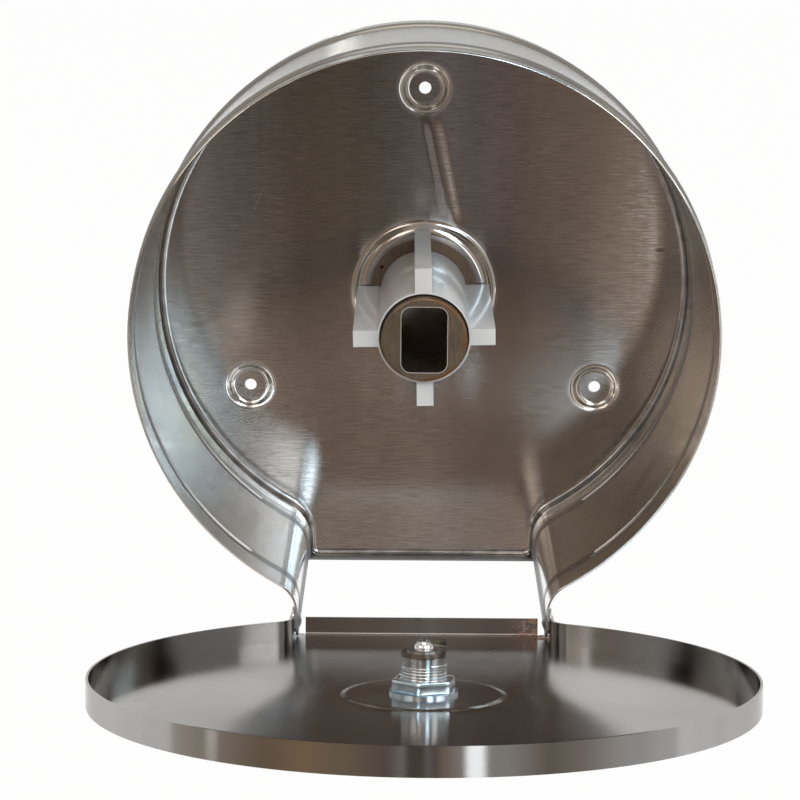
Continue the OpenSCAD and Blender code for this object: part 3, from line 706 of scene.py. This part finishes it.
# plated and plain metal: the dark and light tone and the least roughness of each
metals = {
    "barrelPlate": ((0.46, 0.48, 0.49), (0.72, 0.74, 0.75), 0.13),
    "satinRivetMetal": ((0.35, 0.36, 0.38), (0.5, 0.52, 0.55), 0.3),
    "blueZincPlate": ((0.52, 0.64, 0.72), (0.74, 0.85, 0.92), 0.13),
    "darkCamPlate": ((0.15, 0.125, 0.10), (0.30, 0.265, 0.22), 0.24),
    "lockCoreBrass": ((0.45, 0.32, 0.12), (0.62, 0.46, 0.20), 0.3),
    "dullWasherPlate": ((0.30, 0.31, 0.31), (0.48, 0.49, 0.49), 0.2),
    "screwChrome": ((0.60, 0.61, 0.61), (0.80, 0.81, 0.81), 0.10),
    # the fold's steel is a darker copy of the sheet steel: painted shade in the fold
    "foldSteel": ((0.34, 0.33, 0.32), (0.46, 0.45, 0.44), 0.12),
}
metalTexture = {
    "cloud": {"scale": 160.0, "rough": 0.55},
    "cloudShare": 0.5,
    "cloudRoughness": 0.12,
    "grain": {"scale": 1280.0, "detail": 2.0, "rough": 0.6},
    "grainShare": 0.5,
    "toneLimits": (0.35, 0.68),
    "bumpHeight": 0.00004,
    "bumpStrength": 0.2,
}


def platedMetal(name):
    dark, light, roughness = metals[name]
    sizes = {**metalTexture, "dark": dark, "light": light}
    paint = Paint(name)
    cloud = paint.noise(paint.spot, **sizes["cloud"])
    grain = paint.noise(paint.spot, **sizes["grain"])
    height = cloud * sizes["cloudShare"] + grain * sizes["grainShare"]
    normal = paint.bump(height, sizes["bumpStrength"], sizes["bumpHeight"])
    return paint.finish(paint.tone(cloud, sizes), roughness + cloud * sizes["cloudRoughness"], normal,
                        Metallic=1.0)


def lockPlace():
    # the lock's axis and the middle of its seat, as the record gives them
    lock = next(joint for joint in record["behaviour"]["joints"] if joint["name"] == "lock_turn")
    return Vector(lock["axis"]), Vector(lock["pos_m"])


def onLock(above):
    # from the origin to a place above the lock's seat, standing along its axis
    up, seat = lockPlace()
    stand = Vector((0, 0, 1)).rotation_difference(up).to_matrix().to_4x4()
    return Matrix.Translation(seat + up * above) @ stand


def openTree(name, inputs, *shapes):
    # a Geometry Nodes tree with a named input for each shape and size, and for the finish
    tree = bpy.data.node_groups.new(name, "GeometryNodeTree")
    kinds = {**dict.fromkeys(shapes, "Geometry"), **dict.fromkeys(inputs, "Float"), "Finish": "Material"}
    for inlet, kind in kinds.items():
        tree.interface.new_socket(name=inlet, in_out="INPUT", socket_type="NodeSocket" + kind)
    tree.interface.new_socket(name="Geometry", in_out="OUTPUT", socket_type="NodeSocketGeometry")
    graph = Graph(tree)
    return graph, dict(zip(kinds, graph.outlets("NodeGroupInput", kinds)))


def closeTree(graph, shape, finish):
    real = graph.add("GeometryNodeRealizeInstances", None, {0: shape})
    coated = graph.add("GeometryNodeSetMaterial", None, {"Geometry": real, "Material": finish})
    graph.add("NodeGroupOutput", None, {"Geometry": coated})
    return graph.tree


def growFrom(tree, name, mesh, values):
    # an object that the tree shapes, its inputs set by their identifiers
    piece = addObject(name, mesh)
    growth = piece.modifiers.new(tree.name, "NODES")
    growth.node_group = tree
    for item in tree.interface.items_tree:
        if item.in_out == "INPUT" and item.name in values:
            growth[item.identifier] = values[item.name]
    return piece


def makePlain(piece, place):
    # what the modifiers show becomes a plain mesh, moved to its place
    made = bpy.data.meshes.new_from_object(piece.evaluated_get(bpy.context.evaluated_depsgraph_get()))
    piece.modifiers.clear()
    made.transform(place)
    piece.data = made
    return made


# the thread that shows between the nut and the cam, on a thin collar, in metres
barrelThread = {
    "inputs": {
        "Radius": 0.00934,
        "Wall": 0.00034,
        "Ridge": 0.00036,
        "Pitch": 0.0012,
        "Turns": 5.2,
        "Length": 0.0090,
    },
    "foot": 0.0061,  # from the lock's seat up to the nut's face
    "turnSteps": 48,
    "crestSteps": 8,
    "ringSteps": 72,
    "sharpFrom": 40,  # degrees
}


def threadTree(sizes):
    graph, take = openTree("windThread", sizes["inputs"])
    helix = graph.add("GeometryNodeCurveSpiral", None, {
        "Resolution": sizes["turnSteps"], "Rotations": take["Turns"], "Start Radius": take["Radius"],
        "End Radius": take["Radius"], "Height": take["Pitch"] * take["Turns"], "Reverse": False})
    crest = graph.add("GeometryNodeCurvePrimitiveCircle", None,
                      {"Resolution": sizes["crestSteps"], "Radius": take["Ridge"]})
    ridge = graph.add("GeometryNodeCurveToMesh", None,
                      {"Curve": helix, "Profile Curve": crest, "Fill Caps": True})
    ring = graph.add("GeometryNodeCurvePrimitiveCircle", None,
                     {"Resolution": sizes["ringSteps"], "Radius": take["Radius"] - take["Wall"] * 0.5})
    section = graph.add("GeometryNodeCurvePrimitiveQuadrilateral", None,
                        {"Width": take["Wall"], "Height": take["Length"]})
    collar = graph.add("GeometryNodeCurveToMesh", None,
                       {"Curve": ring, "Profile Curve": section, "Fill Caps": False})
    collar = graph.add("GeometryNodeTransform", None,
                       {"Geometry": collar, "Translation": graph.join(0.0, 0.0, take["Length"] * 0.5)})
    joined = graph.add("GeometryNodeJoinGeometry", None, {0: [ridge, collar]})
    return closeTree(graph, joined, take["Finish"])


def windBarrelThread(sizes, material):
    thread = growFrom(threadTree(sizes), "lock_barrel_thread", bpy.data.meshes.new("lock_barrel_thread"),
                      {**sizes["inputs"], "Finish": material})
    made = makePlain(thread, onLock(sizes["foot"]))
    made.set_sharp_from_angle(angle=math.radians(sizes["sharpFrom"]))
    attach(thread, "lid")


# the inside of the fold between the back plate and its flange, along the keyhole outline
plateFold = {
    "inputs": {
        "Radius": 0.0030,
        "Sink": 0.00002,
    },
    "roundRadius": 0.13298,
    "blendRadius": 0.01802,
    "blendAt": (0.076, -0.13048),
    "bottom": -0.143,
    "cornerRadius": 0.004,
    "plateFront": -0.0036,
    "roundSteps": 150,
    "blendSteps": 14,
    "cornerSteps": 8,
    "arcPoints": 7,
    "samePoint": 1e-5,
    "sharpFrom": 40,  # degrees
}


def keyholePath(sizes):
    # counterclockwise from the lower right end of the round
    across, down = sizes["blendAt"]
    blend, corner = sizes["blendRadius"], sizes["cornerRadius"]
    meet = math.degrees(math.atan2(-down, across))
    cornerX, cornerZ = across - blend - corner, sizes["bottom"] + corner
    arcs = [
        ((0, 0), sizes["roundRadius"], -meet, 180 + meet, sizes["roundSteps"]),
        ((-across, down), blend, meet, 0, sizes["blendSteps"]),
        ((-cornerX, cornerZ), corner, 180, 270, sizes["cornerSteps"]),
        ((cornerX, cornerZ), corner, 270, 360, sizes["cornerSteps"]),
        ((across, down), blend, 180, 180 - meet, sizes["blendSteps"]),
    ]
    points = []
    for (cx, cz), radius, start, end, steps in arcs:
        for i in range(steps + 1):
            a = math.radians(start + (end - start) * i / steps)
            point = Vector((cx + radius * math.cos(a), cz + radius * math.sin(a), 0))
            if not points or (point - points[-1]).length > sizes["samePoint"]:
                points.append(point)
    if (points[0] - points[-1]).length < sizes["samePoint"]:
        points.pop()
    return points


def foldTree(sizes):
    graph, take = openTree("pressFold", sizes["inputs"], "Path")
    path = graph.add("GeometryNodeMeshToCurve", None, {"Mesh": take["Path"]})
    arc = graph.add("GeometryNodeCurveArc", None, {
        "Resolution": sizes["arcPoints"], "Radius": take["Radius"], "Start Angle": 0.0,
        "Sweep Angle": math.pi / 2, "Connect Center": True})
    # the arc's centre becomes the corner of the fold, so the section is hollow towards the drum
    index = graph.add("GeometryNodeInputIndex")
    isCentre = graph.add("ShaderNodeMath", {"operation": "GREATER_THAN"},
                         {0: index, 1: sizes["arcPoints"] - 0.5})
    corner = graph.join(take["Radius"], take["Radius"], 0.0)
    section = graph.add("GeometryNodeSetPosition", None,
                        {"Geometry": arc, "Selection": isCentre, "Offset": corner})
    back = take["Sink"] - take["Radius"]
    section = graph.add("GeometryNodeTransform", None,
                        {"Geometry": section, "Translation": graph.join(back, back, 0.0)})
    fold = graph.add("GeometryNodeCurveToMesh", None,
                     {"Curve": path, "Profile Curve": section, "Fill Caps": False})
    return closeTree(graph, fold, take["Finish"])


def pressPlateFold(sizes, material):
    points = keyholePath(sizes)
    path = bpy.data.meshes.new("plate_fold")
    path.from_pydata(points, [(i, (i + 1) % len(points)) for i in range(len(points))], [])
    fold = growFrom(foldTree(sizes), "plate_fold", path, {**sizes["inputs"], "Finish": material})
    upright = Matrix.Rotation(math.radians(90), 4, "X")
    made = makePlain(fold, Matrix.Translation((0, sizes["plateFront"], 0)) @ upright)
    shape = bmesh.new()
    shape.from_mesh(made)
    bmesh.ops.recalc_face_normals(shape, faces=shape.faces)
    shape.to_mesh(made)
    shape.free()
    made.shade_smooth()
    made.set_sharp_from_angle(angle=math.radians(sizes["sharpFrom"]))
    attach(fold, "drum")


# the jam nut, one corner almost to the front, in metres and degrees
jamNut = {
    "acrossFlats": 0.024,
    "bore": 0.01865,
    "thickness": 0.0050,
    "foot": 0.0012,  # above the lock's seat
    "turn": -11,
    "steps": 48,
    "edge": 0.00045,
    "edgeSegments": 2,
    "edgeFrom": 35,
    "sharpFrom": 25,
}


def nutRings(shape, sizes, height):
    # the points of the bore and of the six flats at one height
    bore, hexagon = [], []
    half, side = math.radians(30), math.radians(60)
    for i in range(sizes["steps"]):
        a = math.tau * i / sizes["steps"]
        flat = sizes["acrossFlats"] / 2 / math.cos((a + half) % side - half)
        for ring, reach in ((bore, sizes["bore"] / 2), (hexagon, flat)):
            ring.append(shape.verts.new((math.cos(a) * reach, math.sin(a) * reach, height)))
    return bore, hexagon


def cutJamNut(sizes, material):
    shape = bmesh.new()
    lowBore, lowHex = nutRings(shape, sizes, 0.0)
    topBore, topHex = nutRings(shape, sizes, sizes["thickness"])
    for i in range(sizes["steps"]):
        j = (i + 1) % sizes["steps"]
        for near, far in ((lowHex, topHex), (topHex, topBore), (topBore, lowBore), (lowBore, lowHex)):
            shape.faces.new((near[i], near[j], far[j], far[i]))
    bmesh.ops.recalc_face_normals(shape, faces=shape.faces)
    mesh = bpy.data.meshes.new("jam_nut")
    shape.to_mesh(mesh)
    shape.free()
    mesh.materials.append(material)
    nut = addObject("jam_nut", mesh)
    bevel = nut.modifiers.new("wornEdges", "BEVEL")
    bevel.width = sizes["edge"]
    bevel.segments = sizes["edgeSegments"]
    bevel.angle_limit = math.radians(sizes["edgeFrom"])
    turn = Matrix.Rotation(math.radians(sizes["turn"]), 4, "Z")
    made = makePlain(nut, onLock(sizes["foot"]) @ turn)
    made.shade_smooth()
    made.set_sharp_from_angle(angle=math.radians(sizes["sharpFrom"]))
    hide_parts("lock_nut")
    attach(nut, "lid")


def dress(material, *names):
    for name in names:
        mesh = nodes[name].data
        if not mesh.materials:
            mesh.materials.append(material)
        for index in range(len(mesh.materials)):
            mesh.materials[index] = material


print("stage: camera, lamps and floor")
scene.view_settings.view_transform = "Standard"
setCamera(cameraView)
setLamps(studioLamps, lampTarget)
setWorld(room)
layFloor(studioFloor)

print("stage: finishes")
barrelFinish = platedMetal("barrelPlate")
zincFinish = platedMetal("blueZincPlate")
dress(brushedPlate("brushedPlateSteel", plateSheet), "back_plate")
dress(brushedWall("brushedWallSteel", wallSheet), "drum_wall", "plate_rim")
dress(brushedLidSheet("brushedLidSteel", lidSheet), "lid_shell", "lid_rim")
dress(wornSpindleSteel("wornSpindleSteel", spindleSteel, 0.15), "spindle_foot_ring", "spindle_tube")
dress(wornSpindleSteel("rustyEndPlateSteel", spindleSteel, 0.9), "spindle_end_plate")
dress(adaptorPlastic("paleAdaptorPlastic", adaptorSheath), "core_adaptor")
dress(platedMetal("satinRivetMetal"),
      "hinge_rivet_left", "hinge_rivet_right", "hinge_washer_left", "hinge_washer_right")
dress(barrelFinish, "lock_barrel")
dress(zincFinish, "lock_washer", "lock_nut")
dress(platedMetal("darkCamPlate"), "lock_cam")
dress(platedMetal("lockCoreBrass"), "lock_plug", "lock_wafers")
dress(platedMetal("dullWasherPlate"), "cam_washer")
dress(platedMetal("screwChrome"), "cam_screw", "wafer_springs")

print("stage: plate fold, barrel thread and jam nut")
pressPlateFold(plateFold, platedMetal("foldSteel"))
windBarrelThread(barrelThread, barrelFinish)
cutJamNut(jamNut, zincFinish)
